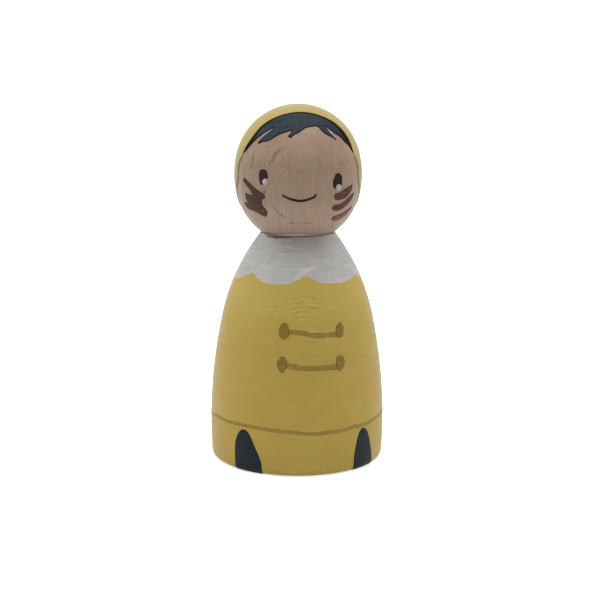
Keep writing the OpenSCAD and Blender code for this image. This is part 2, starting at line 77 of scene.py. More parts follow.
class DollShape(bpy.types.PropertyGroup):
    """The arcs that the wood was turned to, as in the solids."""

    head_centre: size("Head centre", "Height of the middle of the head's oval", 64.606)
    crown_radius: size("Crown radius", "Radius of the round crown and chin", 14.1)
    crown_rise: size("Crown rise", "Height of the crown's centre over the head's", 1.5)
    cheek_radius: size("Cheek radius", "Radius of the curve of the cheeks", 19.35735)
    cheek_setback: size("Cheek setback", "How far the cheek's centre lies past the axis", 5.05735)
    cheek_top: size("Cheek top", "Height over the head's centre up to which the cheek goes", 5.5094)
    side_radius: size("Side radius", "Radius of the long curve of the coat's side", 116.5)
    side_setback: size("Side setback", "How far the side's centre lies past the axis", 96.6)
    belly_height: size("Belly height", "Height of the widest place of the body", 7.6)
    shoulder_radius: size("Shoulder radius", "Radius of the shoulder curve", 46.8)
    shoulder_setback: size(
        "Shoulder setback", "How far the shoulder's centre lies past the axis", 28.5501)
    shoulder_height: size("Shoulder height", "Height of the shoulder's centre", 22.8)
    shoulder_start: size("Shoulder start", "Height at which the shoulder curve begins", 33.002)
    neck_height: size("Neck height", "Height of the flat on which the head sits", 51.5)
    foot_reach: size("Foot reach", "Radius at which the round of the foot has its centre", 18.3429)
    foot_height: size("Foot height", "Height of the centre of the foot's round", 1.3896)
    foot_round: size("Foot round", "Radius of the foot's round", 1.4)
    foot_top: size("Foot top", "Height at which the foot's round ends", 1.314)


class PaintColours(bpy.types.PropertyGroup):
    """The colours on the palette."""

    beech_light: colour("Light beech", "Early wood of the rings", 168, 144, 121)
    beech_dark: colour("Dark beech", "Late wood of the rings", 142, 117, 96)
    beech_fleck: colour("Beech fleck", "Short dark flecks in the wood", 104, 76, 60)
    ochre: colour("Coat ochre", "Paint of the coat", 172, 145, 64)
    ochre_worn: colour("Thin ochre", "Coat paint where it lies thin", 184, 159, 80)
    hood_yellow: colour("Hood yellow", "Paint of the hood", 182, 159, 82)
    toggle: colour("Toggle ochre", "Dark ochre of the toggles' knobs", 118, 95, 30)
    cord: colour("Cord ochre", "Dark ochre of the toggles' cords", 130, 105, 40)
    hem: colour("Hem ochre", "Dark ochre of the hem line", 138, 112, 42)
    collar: colour("Collar white", "Paint of the collar", 184, 183, 180)
    collar_streak: colour("Collar streak", "Grey streaks in the collar", 158, 154, 150)
    hair: colour("Hair", "Blue black paint of the hair", 59, 67, 75)
    boots: colour("Boots", "Blue black paint of the boots", 24, 34, 38)
    left_eye: colour("Left eye", "Dark maroon of the left eye", 42, 19, 22)
    right_eye: colour("Right eye", "Plum black of the right eye", 27, 15, 21)
    dots: colour("Eye dots", "Pinkish white dot in each eye", 170, 157, 152)
    mouth: colour("Mouth", "Dark brown line of the mouth", 34, 20, 14)
    left_cheek: colour("Left cheek", "Brown of the left cheek's blot", 64, 43, 35)
    right_cheek: colour("Right cheek", "Brown of the right cheek's strokes", 76, 48, 38)
    cheek_pink: colour("Cheek pink", "Thin pinkish brown of the lowest stroke", 106, 71, 60)
    hood_line: colour("Hood line", "Olive line along the hood's edge", 120, 104, 62)
    glue: colour("Glue", "Dried glue squeezed out at the neck", 88, 70, 66)


class StageLook(bpy.types.PropertyGroup):
    """Camera, floor and light."""

    camera_side: size("Camera side", "How far right of the doll the camera stands", 0.58)
    camera_back: size("Camera distance", "How far in front of the doll the camera stands", 235.76)
    camera_height: size("Camera height", "Height of the camera", 75.28)
    camera_pitch: bpy.props.FloatProperty(
        name="Camera pitch", description="How far the camera looks down",
        default=math.radians(9.5), subtype="ANGLE")
    camera_roll: bpy.props.FloatProperty(
        name="Camera roll", description="How far the camera leans",
        default=math.radians(0.3), subtype="ANGLE")
    lens: bpy.props.FloatProperty(
        name="Lens", description="Focal length in millimetres", default=62.2)
    floor_white: colour("Floor", "Colour of the floor and backdrop", 250, 250, 250)


# Turned surfaces

def head_point(direction, height):
    """Point of the head's skin in a direction from its centre, lifted by a height."""
    shape = bpy.context.scene.doll_shape
    flat = math.hypot(direction.x, direction.y)
    rise = abs(direction.z)
    crown = shape.crown_rise * rise + math.sqrt(
        shape.crown_radius ** 2 - (shape.crown_rise * flat) ** 2)
    cheek = -shape.cheek_setback * flat + math.sqrt(
        shape.cheek_radius ** 2 - (shape.cheek_setback * rise) ** 2)
    round_end = crown >= cheek or cheek * rise > shape.cheek_top
    point = direction * (crown if round_end else cheek)
    if round_end:
        normal = point - Vector((0, 0, math.copysign(shape.crown_rise, direction.z)))
    else:
        outward = Vector((direction.x, direction.y, 0)).normalized()
        normal = point + outward * shape.cheek_setback
    return point + normal.normalized() * height + Vector((0, 0, shape.head_centre))


def body_radius(z):
    """Radius and outward lean of the wooden body at a height."""
    shape = bpy.context.scene.doll_shape
    if z < shape.foot_top:
        centre, middle, arc = shape.foot_reach, shape.foot_height, shape.foot_round
    elif z < shape.shoulder_start:
        centre, middle, arc = -shape.side_setback, shape.belly_height, shape.side_radius
    else:
        centre, middle, arc = (
            -shape.shoulder_setback, shape.shoulder_height, shape.shoulder_radius)
    out = math.sqrt(max(0, arc ** 2 - (z - middle) ** 2)) or 1e-6
    return centre + out, (z - middle) / out


def neck_reach(z):
    """Radius of the wood close to the neck, on the head above the joint and the body below."""
    shape = bpy.context.scene.doll_shape
    if z <= shape.neck_height:
        return body_radius(z)[0]
    drop = shape.head_centre - shape.crown_rise - z
    return math.sqrt(shape.crown_radius ** 2 - drop ** 2)


def body_point(azimuth, z, height):
    """Point of the body's skin at an azimuth from the face, lifted by a height."""
    radius, lean = body_radius(z)
    normal = Vector((math.sin(azimuth), -math.cos(azimuth), lean)).normalized()
    return Vector((radius * math.sin(azimuth), -radius * math.cos(azimuth), z)) + normal * height


def facing(azimuth):
    """The way out from the axis at an azimuth from the face."""
    return Vector((math.sin(azimuth), -math.cos(azimuth), 0))


def round_the_doll(count):
    """Azimuths once round the doll, from its back."""
    return [-math.pi + 2 * math.pi * i / count for i in range(count)]


class HeadMap:
    """Flattens the head round the middle of the face, nearly without stretch."""

    reach = 15 * MM

    def flat(self, point):
        shape = bpy.context.scene.doll_shape
        way = (point - Vector((0, 0, shape.head_centre))).normalized()
        angle = math.acos(max(-1, min(1, -way.y)))
        across = math.hypot(way.x, way.z) or TINY
        return Vector((way.x, way.z)) * (angle / across * self.reach)

    def solid(self, flat, height):
        angle = flat.length / self.reach
        side = flat.normalized() if flat.length > TINY else Vector((0, 0))
        way = Vector((side.x * math.sin(angle), -math.cos(angle), side.y * math.sin(angle)))
        return head_point(way, height)


class BodyMap:
    """Unrolls the body round its axis at one radius."""

    def __init__(self, reach):
        self.reach = reach

    def flat(self, point):
        return Vector((math.atan2(point.x, -point.y) * self.reach, point.z))

    def solid(self, flat, height):
        return body_point(flat.x / self.reach, flat.y, height)


# Meshes

def new_piece(name, points, faces, node, material):
    """A smooth piece that stands for a CAD node and rides on the doll."""
    mesh = bpy.data.meshes.new(name)
    mesh.from_pydata(points, [], faces)
    mesh.validate()
    mesh.polygons.foreach_set("use_smooth", [True] * len(mesh.polygons))
    piece = bpy.data.objects.new(name, mesh)
    bpy.context.scene.collection.objects.link(piece)
    mesh.materials.append(material)
    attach(piece, "root")
    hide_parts(node)
    return piece


def eased(value, low, high):
    """A share that eases from 0 at low to 1 at high."""
    t = max(0.0, min(1.0, (value - low) / (high - low)))
    return t * t * (3 - 2 * t)


# The hood's upper edge: degrees that it is turned round the head, and where that begins and
# is full, in millimetres over the head's centre and in depth
SWEEP_TURN, SWEEP_RISE, SWEEP_DEPTH = 3.5, (4.6, 9.3), (-7.9, -7.2)


def swept_round(point):
    """A point near the hood's upper edge, moved round the head as the brush ran past it."""
    rise = (point.z - bpy.context.scene.doll_shape.head_centre) / MM
    turn = math.radians(SWEEP_TURN) * eased(rise, *SWEEP_RISE) * eased(
        point.y / MM, *SWEEP_DEPTH)
    return Vector((point.x * math.cos(turn) - point.y * math.sin(turn),
                   point.x * math.sin(turn) + point.y * math.cos(turn), point.z))


# Where the locks of hair are laid otherwise than their solid: middle, reach and shift in
# millimetres, then the share of the reach that moves in full
LOCK_SHIFTS = (((-7.4, 72.7), 2.5, (-0.5, 0.1)), ((6.0, 75.3), 0.9, (-0.05, 0.35)),
               ((8.1, 72.5), 1.2, (0.4, -0.15)))
LOCK_CORE = 0.3

# The slit's line, above which the left lock isn't shifted: a point on it and its slope
SLIT_TOP, SLIT_SLOPE = (-5.33, 75.1), 0.8


def laid_lock(point):
    """A point of the hair's outline, laid as the brush left it."""
    across, up = point.x / MM, point.z / MM
    above_slit = up > SLIT_TOP[1] + SLIT_SLOPE * (across - SLIT_TOP[0])
    for (x, z), reach, (right, rise) in LOCK_SHIFTS:
        if not (x < 0 and above_slit):
            pull = 1 - eased(math.hypot(across - x, up - z), LOCK_CORE * reach, reach)
            point = point + Vector((right, 0, rise)) * pull * MM
    return swept_round(point)


def sides(loop):
    """Each point of a closed outline with the next one."""
    return zip(loop, loop[1:] + loop[:1])


def free_edges(node, chart, lowest):
    """The edges round a paint solid's outer skin in its CAD mesh, and its flattened points."""
    mesh = CAD[node].data
    flats = [chart.flat(v.co) for v in mesh.vertices]
    lifts = [(v.co - chart.solid(f, 0)).length for v, f in zip(mesh.vertices, flats)]
    places = {}
    key = [places.setdefault(tuple(round(c, 7) for c in v.co), v.index) for v in mesh.vertices]
    edges = {}
    for face in mesh.polygons:
        if min(lifts[i] for i in face.vertices) < lowest:
            continue
        ring = [key[i] for i in face.vertices]
        for a, b in sides(ring):
            if (b, a) in edges:
                del edges[(b, a)]
            elif a != b:
                edges[(a, b)] = True
    return edges, flats


def skin_outline(node, chart, lowest):
    """The flattened outline of a paint solid's outer skin."""
    following, flats = free_edges(node, chart, lowest)
    loops = []
    while following:
        start, here = next(iter(following))
        del following[(start, here)]
        loop = [start]
        while here != start:
            loop.append(here)
            step = next((e for e in following if e[0] == here), None)
            if step is None:
                break
            del following[step]
            here = step[1]
        loops.append([flats[i] for i in loop])
    return max(loops, key=lambda loop: sum((a - b).length for a, b in zip(loop, loop[1:])))


def resampled(loop, step):
    """A closed outline with a point every step or so, its corners kept."""
    points = []
    for a, b in sides(loop):
        count = max(1, round((b - a).length / step))
        points += [a.lerp(b, i / count) for i in range(count)]
    return points


def edge_distance(point, loop):
    """Distance from a point to a closed outline."""
    best = math.inf
    for a, b in sides(loop):
        along = b - a
        t = max(0, min(1, (point - a).dot(along) / max(along.length_squared, TINY ** 2)))
        best = min(best, (point - a - along * t).length_squared)
    return math.sqrt(best)


def inside(point, loop):
    """Whether a point lies within a closed outline."""
    held = False
    for a, b in sides(loop):
        if (a.y > point.y) != (b.y > point.y):
            if point.x < a.x + (point.y - a.y) / (b.y - a.y) * (b.x - a.x):
                held = not held
    return held


# Points of a patch: their spacing along its edge in steps, and the rows close inside it as
# shares of its rounding; the share of its depth that a row's point keeps from every edge, the
# roundings that the middle's points keep, and the height of a staggered row in steps
EDGE_SPACING, EDGE_ROWS = 0.6, (0.3, 0.75, 1.2)
EDGE_CROWDED, EDGE_CLEAR, ROW_HEIGHT = 0.93, 1.5, 0.87

# In millimetres: how deep a patch's edge sinks, how wide its rim is and how thick the coat's
# paint lies, and how near two points are one; then how far each letter of a name shifts marks
SUNK, RIM_WIDTH, COAT_THICK, SAME_SPOT = 0.01, 0.5, 0.15, 1e-4
MARKS_APART = 3.7


def edge_rows(outline, round_off):
    """Points in rows close inside an outline, where the paint's edge is round."""
    rows = []
    for part in EDGE_ROWS:
        depth = round_off * part * MM
        for i, here in enumerate(outline):
            along = outline[(i + 1) % len(outline)] - outline[i - 1]
            if along.length < TINY:
                continue
            spot = here + Vector((-along.y, along.x)).normalized() * depth
            if inside(spot, outline) and edge_distance(spot, outline) > depth * EDGE_CROWDED:
                rows.append(spot)
    return rows


def middle_rows(outline, step, clear):
    """Points in staggered rows inside an outline, clear of its edge."""
    low, high = (Vector((pick(p.x for p in outline), pick(p.y for p in outline)))
                 for pick in (min, max))
    rows = int((high.y - low.y) / (step * ROW_HEIGHT)) + 1
    columns = int((high.x - low.x) / step) + 1
    spots = [low + Vector(((column + row % 2 / 2) * step, row * step * ROW_HEIGHT))
             for row in range(rows + 1) for column in range(columns + 1)]
    return [spot for spot in spots
            if inside(spot, outline) and edge_distance(spot, outline) > clear]


def paint_patch(name, node, chart, material, base=0.0, thick=0.13, round_off=0.14,
                spacing=0.3, streak=0.012, streak_way=(0.3, 5.0), lowest=0.06, taut=False,
                move=None):
    """A patch of laid-on paint with rounded edges and the marks of the brush.

    Lengths are in millimetres: base is what lies under it, thick its own thickness, and
    lowest the height from which its solid's skin counts as the outer one.
    A taut patch has no hollows in its outline, and move shifts the outline's points.
    """
    outline = skin_outline(node, chart, lowest * MM)
    if taut:
        outline = [outline[i] for i in convex_hull_2d(outline)]
    outline = resampled(outline, spacing * EDGE_SPACING * MM)
    if move:
        outline = [chart.flat(move(chart.solid(p, 0))) for p in outline]
    if sum(a.x * b.y - b.x * a.y for a, b in sides(outline)) < 0:
        outline.reverse()
    spots = outline + edge_rows(outline, round_off) + middle_rows(
        outline, spacing * MM, round_off * EDGE_CLEAR * MM)
    ring = list(range(len(outline)))
    flat, _, faces, _, _, _ = delaunay_2d_cdt(
        [spot / MM for spot in spots], list(sides(ring)), [ring], 1, SAME_SPOT)
    points, rim = [], []
    for spot in flat:
        spot = Vector(spot) * MM
        depth = edge_distance(spot, outline) / MM
        flatness = min(1.0, depth / round_off)
        lift = math.sqrt(max(0.0, 1 - (1 - flatness) ** 2))
        marks = noise.noise(Vector((spot.x / MM * streak_way[0], spot.y / MM * streak_way[1],
                                    len(name) * MARKS_APART)))
        points.append(chart.solid(
            spot, (base - SUNK + (thick + SUNK + marks * streak) * lift) * MM))
        rim.append(min(1.0, depth / RIM_WIDTH))
    store_shares(new_piece(name, points, faces, node, material), "rim", rim)


def ring_faces(around, across, closed=False):
    """Quads between columns of points round the doll, whose ends meet too when closed."""
    return [(i * across + j, (i + 1) % around * across + j,
             (i + 1) % around * across + (j + 1) % across, i * across + (j + 1) % across)
            for i in range(around) for j in range(across if closed else across - 1)]


def store_shares(piece, label, shares):
    """Keeps a number from 0 to 1 at each vertex for the material."""
    layer = piece.data.attributes.new(label, "FLOAT", "POINT")
    layer.data.foreach_set("value", shares)


# Node groups and materials

def fill(socket, value):
    """Links a node's value to a socket, or sets a number, a place or a colour on it."""
    if isinstance(value, Value):
        value.tree.links.new(value.socket, socket)
    elif socket.type == "RGBA":
        socket.default_value = (*value[:3], 1)
    else:
        socket.default_value = value


def add(tree, kind, inputs=None, **settings):
    """A new node with its settings and what goes into its sockets."""
    made = tree.nodes.new(kind)
    for key, value in settings.items():
        setattr(made, key, value)
    for key, value in (inputs or {}).items():
        fill(made.inputs[key], value)
    return made


class Value:
    """What a node gives; signs between two of them make math nodes."""

    def __init__(self, node, output=0):
        self.tree, self.socket = node.id_data, node.outputs[output]

    def maths(self, operation, *others):
        """A math node on this value and others."""
        return Value(add(self.tree, "ShaderNodeMath", dict(enumerate((self, *others))),
                         operation=operation))

    __add__ = partialmethod(maths, "ADD")
    __sub__ = partialmethod(maths, "SUBTRACT")
    __mul__ = partialmethod(maths, "MULTIPLY")
    __truediv__ = partialmethod(maths, "DIVIDE")
    __pow__ = partialmethod(maths, "POWER")
    __abs__ = partialmethod(maths, "ABSOLUTE")

    def clamped(self):
        """This value, held between 0 and 1."""
        self.socket.node.use_clamp = True
        return self

    def step(self, low, high, to_low=0.0, to_high=1.0):
        """A smooth step of this value from one range to another."""
        return Value(add(
            self.tree, "ShaderNodeMapRange", dict(enumerate((self, low, high, to_low, to_high))),
            interpolation_type="SMOOTHSTEP"))

    def noise(self, factors, detail=2.0, rough=0.5, scale=1.0):
        """Noise at this place, stretched by three factors."""
        pulled = Value(add(self.tree, "ShaderNodeVectorMath", {0: self, 1: factors},
                           operation="MULTIPLY"))
        return Value(add(self.tree, "ShaderNodeTexNoise", {
            "Vector": pulled, "Scale": scale, "Detail": detail, "Roughness": rough}))

    def under(self, *layers, blend="MIX"):
        """This colour with others laid over it in turn, each by its own share."""
        laid = self
        for share_of, tone in layers:
            laid = Value(add(self.tree, "ShaderNodeMix", {0: share_of, 6: laid, 7: tone},
                             data_type="RGBA", blend_type=blend), 2)
        return laid


def kept(tree, label):
    """The numbers that were kept at a mesh's vertices."""
    return Value(add(tree, "ShaderNodeAttribute", attribute_name=label), "Fac")


def skin_place(tree):
    """The place on the doll in millimetres, the same for every piece, and its x, y and z."""
    where = Value(add(tree, "ShaderNodeTexCoord"), "Object")
    place = Value(add(tree, "ShaderNodeVectorMath", {0: where, "Scale": 1 / MM},
                      operation="SCALE"))
    parts = add(tree, "ShaderNodeSeparateXYZ", {0: place})
    return place, Value(parts, "X"), Value(parts, "Y"), Value(parts, "Z")


def group(name, colours, numbers, outputs):
    """An empty shader node group, what comes in by each name and the sockets to fill."""
    made = bpy.data.node_groups.new(name, "ShaderNodeTree")
    for label in colours:
        made.interface.new_socket(label, in_out="INPUT", socket_type="NodeSocketColor")
    for label, value in numbers.items():
        socket = made.interface.new_socket(label, in_out="INPUT", socket_type="NodeSocketFloat")
        socket.default_value = value
    for label, kind in outputs.items():
        made.interface.new_socket(label, in_out="OUTPUT", socket_type=kind)
    enter = made.nodes.new("NodeGroupInput")
    return (made, {label: Value(enter, label) for label in (*colours, *numbers)},
            made.nodes.new("NodeGroupOutput").inputs)


def make_beech_group():
    """Rings, fibres and flecks of beech cut across a trunk with an upright pith."""
    tree, enter, leave = group(
        "beech_figure", ("Light wood", "Dark wood", "Fleck"),
        {"Pith X": -60.0, "Pith Y": 0.0, "Ring spacing": 2.8, "Ring depth": 0.6,
         "Fleck depth": 0.8, "Wander": 1.0, "Clear below": 90.0},
        {"Colour": "NodeSocketColor", "Height": "NodeSocketFloat"})
    place, x, y, z = skin_place(tree)
    away = ((x - enter["Pith X"]) ** 2.0 + (y - enter["Pith Y"]) ** 2.0).maths("SQRT")
    bent = place.noise((0.12, 0.12, 0.05)) * enter["Wander"] + away
    turn = (bent / enter["Ring spacing"]).maths("FRACT")
    late, early = turn ** 14.0, turn.step(0.0, 0.04, 1.0, 0.0)
    rings = (late + early).clamped() * (z - enter["Clear below"]).step(0.0, 3.0, 1.0, 0.22)
    fibre = place.noise((5.0, 5.0, 0.25), 3.0, 0.6)
    broad = place.noise((0.5, 0.5, 0.07))
    strips = place.noise((1.5, 1.5, 0.09))
    flecks = place.noise((4.2, 4.2, 0.42), 1.0).step(0.69, 0.78)
    lines = rings * enter["Ring depth"]
    dark = fibre.step(0.35, 0.75) * 0.28 + lines
    dark = strips.step(0.38, 0.62) * 0.3 + dark
    dark = (broad.step(0.35, 0.7) * 0.35 + dark).clamped()
    fill(leave["Colour"], enter["Light wood"].under(
        (dark, enter["Dark wood"]), (lines * 0.3, enter["Fleck"]),
        (flecks * enter["Fleck depth"], enter["Fleck"])))
    fill(leave["Height"], fibre * 0.5 + rings * -0.3 - flecks)


def make_paint_group():
    """Brushed paint: streaks round the doll, thin places, specks and a darker rim."""
    tree, enter, leave = group(
        "brushed_paint", ("Paint", "Thin paint", "Rim tint"),
        {"Streak depth": 0.5, "Streak scale": 1.0, "Speck depth": 0.4, "Rim depth": 0.0,
         "Patch scale": 1.0},
        {"Colour": "NodeSocketColor", "Height": "NodeSocketFloat",
         "Roughness": "NodeSocketFloat"})
    place = skin_place(tree)[0]
    streaks = place.noise((0.12, 0.12, 3.4), 4.0, 0.65, enter["Streak scale"])
    patches = place.noise((0.16, 0.16, 0.3), 3.0, 0.55, enter["Patch scale"])
    thin = patches.step(0.4, 0.75) * 0.35 + streaks.step(0.42, 0.72) * enter["Streak depth"]
    cells = add(tree, "ShaderNodeTexVoronoi", {
        "Vector": place, "Scale": 0.42, "Randomness": 1.0})
    picked = Value(add(tree, "ShaderNodeSeparateColor", {0: Value(cells, "Color")}))
    speck = Value(cells, "Distance").step(0.05, 0.09, 1.0, 0.0) * picked.step(0.72, 0.78)
    speck *= enter["Speck depth"]
    laid = enter["Paint"].under((thin.clamped(), enter["Thin paint"]),
                                (speck, linear(208, 190, 140)))
    rimmed = laid.under((1.0, enter["Rim tint"]), blend="MULTIPLY")
    edge = kept(tree, "rim").step(0.0, 0.6, 1.0, 0.0) * enter["Rim depth"]
    fill(leave["Colour"], laid.under((edge, rimmed)))
    fill(leave["Height"], speck * 1.2 + streaks)
    fill(leave["Roughness"], streaks * 0.2 + 0.44)


def new_material(name, roughness, coat=0.0, shine=0.25):
    """A material with one Principled shader."""
    made = bpy.data.materials.new(name)
    made.use_nodes = True
    tree = made.node_tree
    shader = next(n for n in tree.nodes if n.type == "BSDF_PRINCIPLED")
    for label, value in (("Roughness", roughness), ("Coat Weight", coat),
                         ("Coat Roughness", 0.35), ("Specular IOR Level", shine)):
        fill(shader.inputs[label], value)
    return made, tree, shader


def finish_skin(shader, laid, height, depth, painted_sheen):
    """Gives a shader its colour, and a bump of a height in millimetres times depth; a painted
    sheen, when given, greys the colour where the surface is seen at a flat angle.
    """
    if painted_sheen:
        laid = sheen_greyed_rim(laid, *painted_sheen)
    fill(shader.inputs["Base Color"], laid)
    fill(shader.inputs["Normal"], Value(add(shader.id_data, "ShaderNodeBump", {
        "Strength": 1.0, "Distance": depth * MM, "Height": height})))


def sheen_greyed_rim(laid, tone, depth):
    """Painted sheen: the colour greyed towards a tone where the surface is seen at a flat angle, as
    the sheen of fine dust and fuzz greys it.
    """
    angle = Value(add(laid.tree, "ShaderNodeLayerWeight", {"Blend": 0.5}), "Facing")
    return laid.under((angle.step(0.5, 0.98, 0.0, depth), tone))


def beech_material(name, pith, spacing, ring_depth, fleck_depth, light=None, wander=1.0,
                   clear_below=90.0, face=False):
    """Sanded bare beech."""
    colours = bpy.context.scene.doll_colours
    made, tree, shader = new_material(name, 0.55)
    figure = add(tree, "ShaderNodeGroup", {
        "Light wood": light or colours.beech_light, "Dark wood": colours.beech_dark,
        "Fleck": colours.beech_fleck, "Pith X": pith[0], "Pith Y": pith[1],
        "Ring spacing": spacing, "Ring depth": ring_depth, "Fleck depth": fleck_depth,
        "Wander": wander, "Clear below": clear_below},
        node_tree=bpy.data.node_groups["beech_figure"])
    wood, height = Value(figure, "Colour"), Value(figure, "Height")
    if face:
        wood, height = add_face_figure(wood, height)
    # The tone and depth after the bump are a painted sheen that greys the wood at flat angles.
    finish_skin(shader, wood, height, 0.05, (linear(158, 150, 142), 0.6))
    return made


def paint_material(name, paint, thin, streak=0.5, scale=1.0, speck=0.3, rim=0.0, bump=0.03,
                   coat=0.0, shine=0.25, rim_tint=(0.45, 0.42, 0.4),
                   patch=1.0, finish=None, painted_sheen=None):
    """Brushed acrylic paint; finish adds what only one piece shows."""
    made, tree, shader = new_material(name, 0.45, coat, shine)
    brushed = add(tree, "ShaderNodeGroup", {
        "Paint": paint, "Thin paint": thin, "Rim tint": rim_tint, "Streak depth": streak,
        "Streak scale": scale, "Speck depth": speck, "Rim depth": rim, "Patch scale": patch},
        node_tree=bpy.data.node_groups["brushed_paint"])
    laid, height = Value(brushed, "Colour"), Value(brushed, "Height")
    if finish:
        laid, height = finish(laid, height)
    fill(shader.inputs["Roughness"], Value(brushed, "Roughness"))
    finish_skin(shader, laid, height, bump, painted_sheen)
    return made


# Scratches on the head, as all straight marks: start and end, across and up, and width in
# millimetres
SCRATCHES = (((-5.6, 58.4), (-3.1, 56.0), 0.17), ((-3.5, 56.9), (-2.9, 55.6), 0.12),
             ((-1.6, 54.6), (-0.6, 54.5), 0.16), ((0.3, 54.5), (3.1, 54.6), 0.12),
             ((-11.3, 70.7), (-11.0, 69.4), 0.2), ((-9.6, 69.4), (-10.1, 66.9), 0.2),
             ((-10.0, 66.9), (-10.4, 66.2), 0.22), ((12.4, 64.6), (12.6, 64.2), 0.3),
             ((-7.9, 61.9), (-7.6, 61.2), 0.2), ((-7.6, 61.2), (-7.0, 61.3), 0.2),
             ((-7.0, 61.3), (-6.9, 61.9), 0.2))

# Soft brown marks on the left of the forehead
SMUDGES = (((-3.9, 70.5), (-4.7, 69.6), 0.6), ((-4.7, 69.6), (-5.3, 68.0), 0.5))

# Greyish paint left in the two slits of the hair
SLIT_GLEAMS = (((-5.4, 75.0), (-6.9, 73.8), 1.3), ((6.0, 75.6), (6.9, 74.5), 0.9))

# Thick pale paint on the front of the collar
COLLAR_SMEARS = (((-0.4, 43.1), (1.4, 44.3), 0.55), ((1.4, 44.3), (3.7, 45.1), 0.6),
                 ((0.2, 44.9), (2.6, 44.7), 0.4))

# Fields of specks on the face: middle across and up, half width, half height, strength
SPECK_FIELDS = ((-2.4, 67.9, 2.3, 3.7, 0.8), (2.1, 66.3, 3.6, 2.0, 0.85),
                (0.3, 68.6, 4.6, 3.4, 0.45), (-5.6, 71.9, 1.1, 1.0, 0.6))

# Faint arcs of grain over the eyes: middle across and up, then each radius and depth
FACE_ARC_X, FACE_ARC_Z = 0.6, 65.0
FACE_ARCS = ((7.5, 0.3), (5.5, 0.14), (9.6, 0.12))

# Arches of grain under the coat: middle, half width, foot, top and strength
COAT_ARCHES = ((1.7, 3.6, 33.6, 40.6, 1.0), (3.6, 2.4, 25.0, 31.0, 0.4),
               (-4.9, 1.7, 33.0, 38.5, 0.5))
ARCH_SPACING, ARCH_BOW, ARCH_FADE = 1.02, 0.05, 1.2


def draw_marks(laid, height, x, z, front, marks, strength, tone, rise=0.0):
    """Lays straight marks over a colour, and lifts its height by rise along them."""
    for (start_x, start_z), (end_x, end_z), width in marks:
        along_x, along_z = end_x - start_x, end_z - start_z
        long_2 = along_x ** 2 + along_z ** 2
        past_x, past_z = x - start_x, z - start_z
        reach = (past_x * (along_x / long_2) + past_z * (along_z / long_2)).clamped()
        miss_x, miss_z = reach * -along_x + past_x, reach * -along_z + past_z
        miss = (miss_x ** 2.0 + miss_z ** 2.0).maths("SQRT")
        mark = miss.step(width * 0.4, width, 1.0, 0.0) * front
        laid = laid.under((mark * strength, tone))
        height = mark * rise + height
    return laid, height


def speck_zone(x, z, ragged):
    """Where the face has specks."""
    zone = None
    for middle_x, middle_z, half_x, half_z, strength in SPECK_FIELDS:
        away = ((x - middle_x) / half_x) ** 2.0 + ((z - middle_z) / half_z) ** 2.0
        field = (ragged * 0.9 + away).step(0.7, 1.7, strength, 0.0)
        zone = zone.maths("MAXIMUM", field) if zone else field
    return zone


def add_face_arcs(wood, x, z, front, ragged):
    """Faint arcs of grain on the forehead."""
    off_x, off_z = x - FACE_ARC_X, z - FACE_ARC_Z
    ring = ragged * 1.3 + (off_x ** 2.0 + off_z ** 2.0).maths("SQRT")
    upper = z.step(65.5, 67.0) * front * abs(off_x).step(2.0, 5.0, 0.25, 1.0)
    return wood.under(*(
        (abs(ring - reach).step(0.1, 0.5, depth, 0.0) * upper, linear(112, 84, 68))
        for reach, depth in FACE_ARCS))


def add_face_figure(wood, height):
    """Specks, faint arcs and scratches of the wood round the middle of the face."""
    place, x, y, z = skin_place(wood.tree)
    front = y.step(-6.0, -9.0)
    ragged = place.noise((0.5, 0.5, 0.5))
    zone = speck_zone(x, z, ragged) * front
    grains = place.noise((2.6, 2.6, 2.6), 3.0, 0.7)
    high = z.step(66.0, 72.0, 0.0, 0.55) * abs(x - 0.5).step(2.5, 7.0, 1.0, 0.0)
    wood = wood.under(
        (z.step(57.0, 71.0, 0.5, 0.0) * front, linear(156, 138, 123)),
        (high * front, linear(178, 154, 132)),
        (abs(z - 63.5).step(3.0, 6.5, 0.3, 0.0) * front, linear(126, 101, 84)),
        (zone * grains.step(0.5, 0.64, 0.0, 0.5), linear(108, 83, 68)),
        (zone * grains.step(0.36, 0.46, 1.0, 0.0), linear(190, 160, 130)))
    wood = add_face_arcs(wood, x, z, front, ragged)
    blush = place.noise((0.22, 0.22, 0.16), 1.0)
    wood = wood.under((blush.step(0.5, 0.66, 0.0, 0.5), linear(162, 128, 112)),
                      (blush.step(0.34, 0.46, 0.45, 0.0), linear(148, 134, 110)))
    for marks, strength, tone, rise in ((SCRATCHES, 0.5, linear(96, 70, 56), -1.0),
                                        (SMUDGES, 0.3, linear(112, 76, 58), 0.0),
                                        (SLIT_GLEAMS, 0.9, linear(164, 169, 168), 0.0)):
        wood, height = draw_marks(wood, height, x, z, front, marks, strength, tone, rise)
    return wood, grains * zone * 1.6 + height


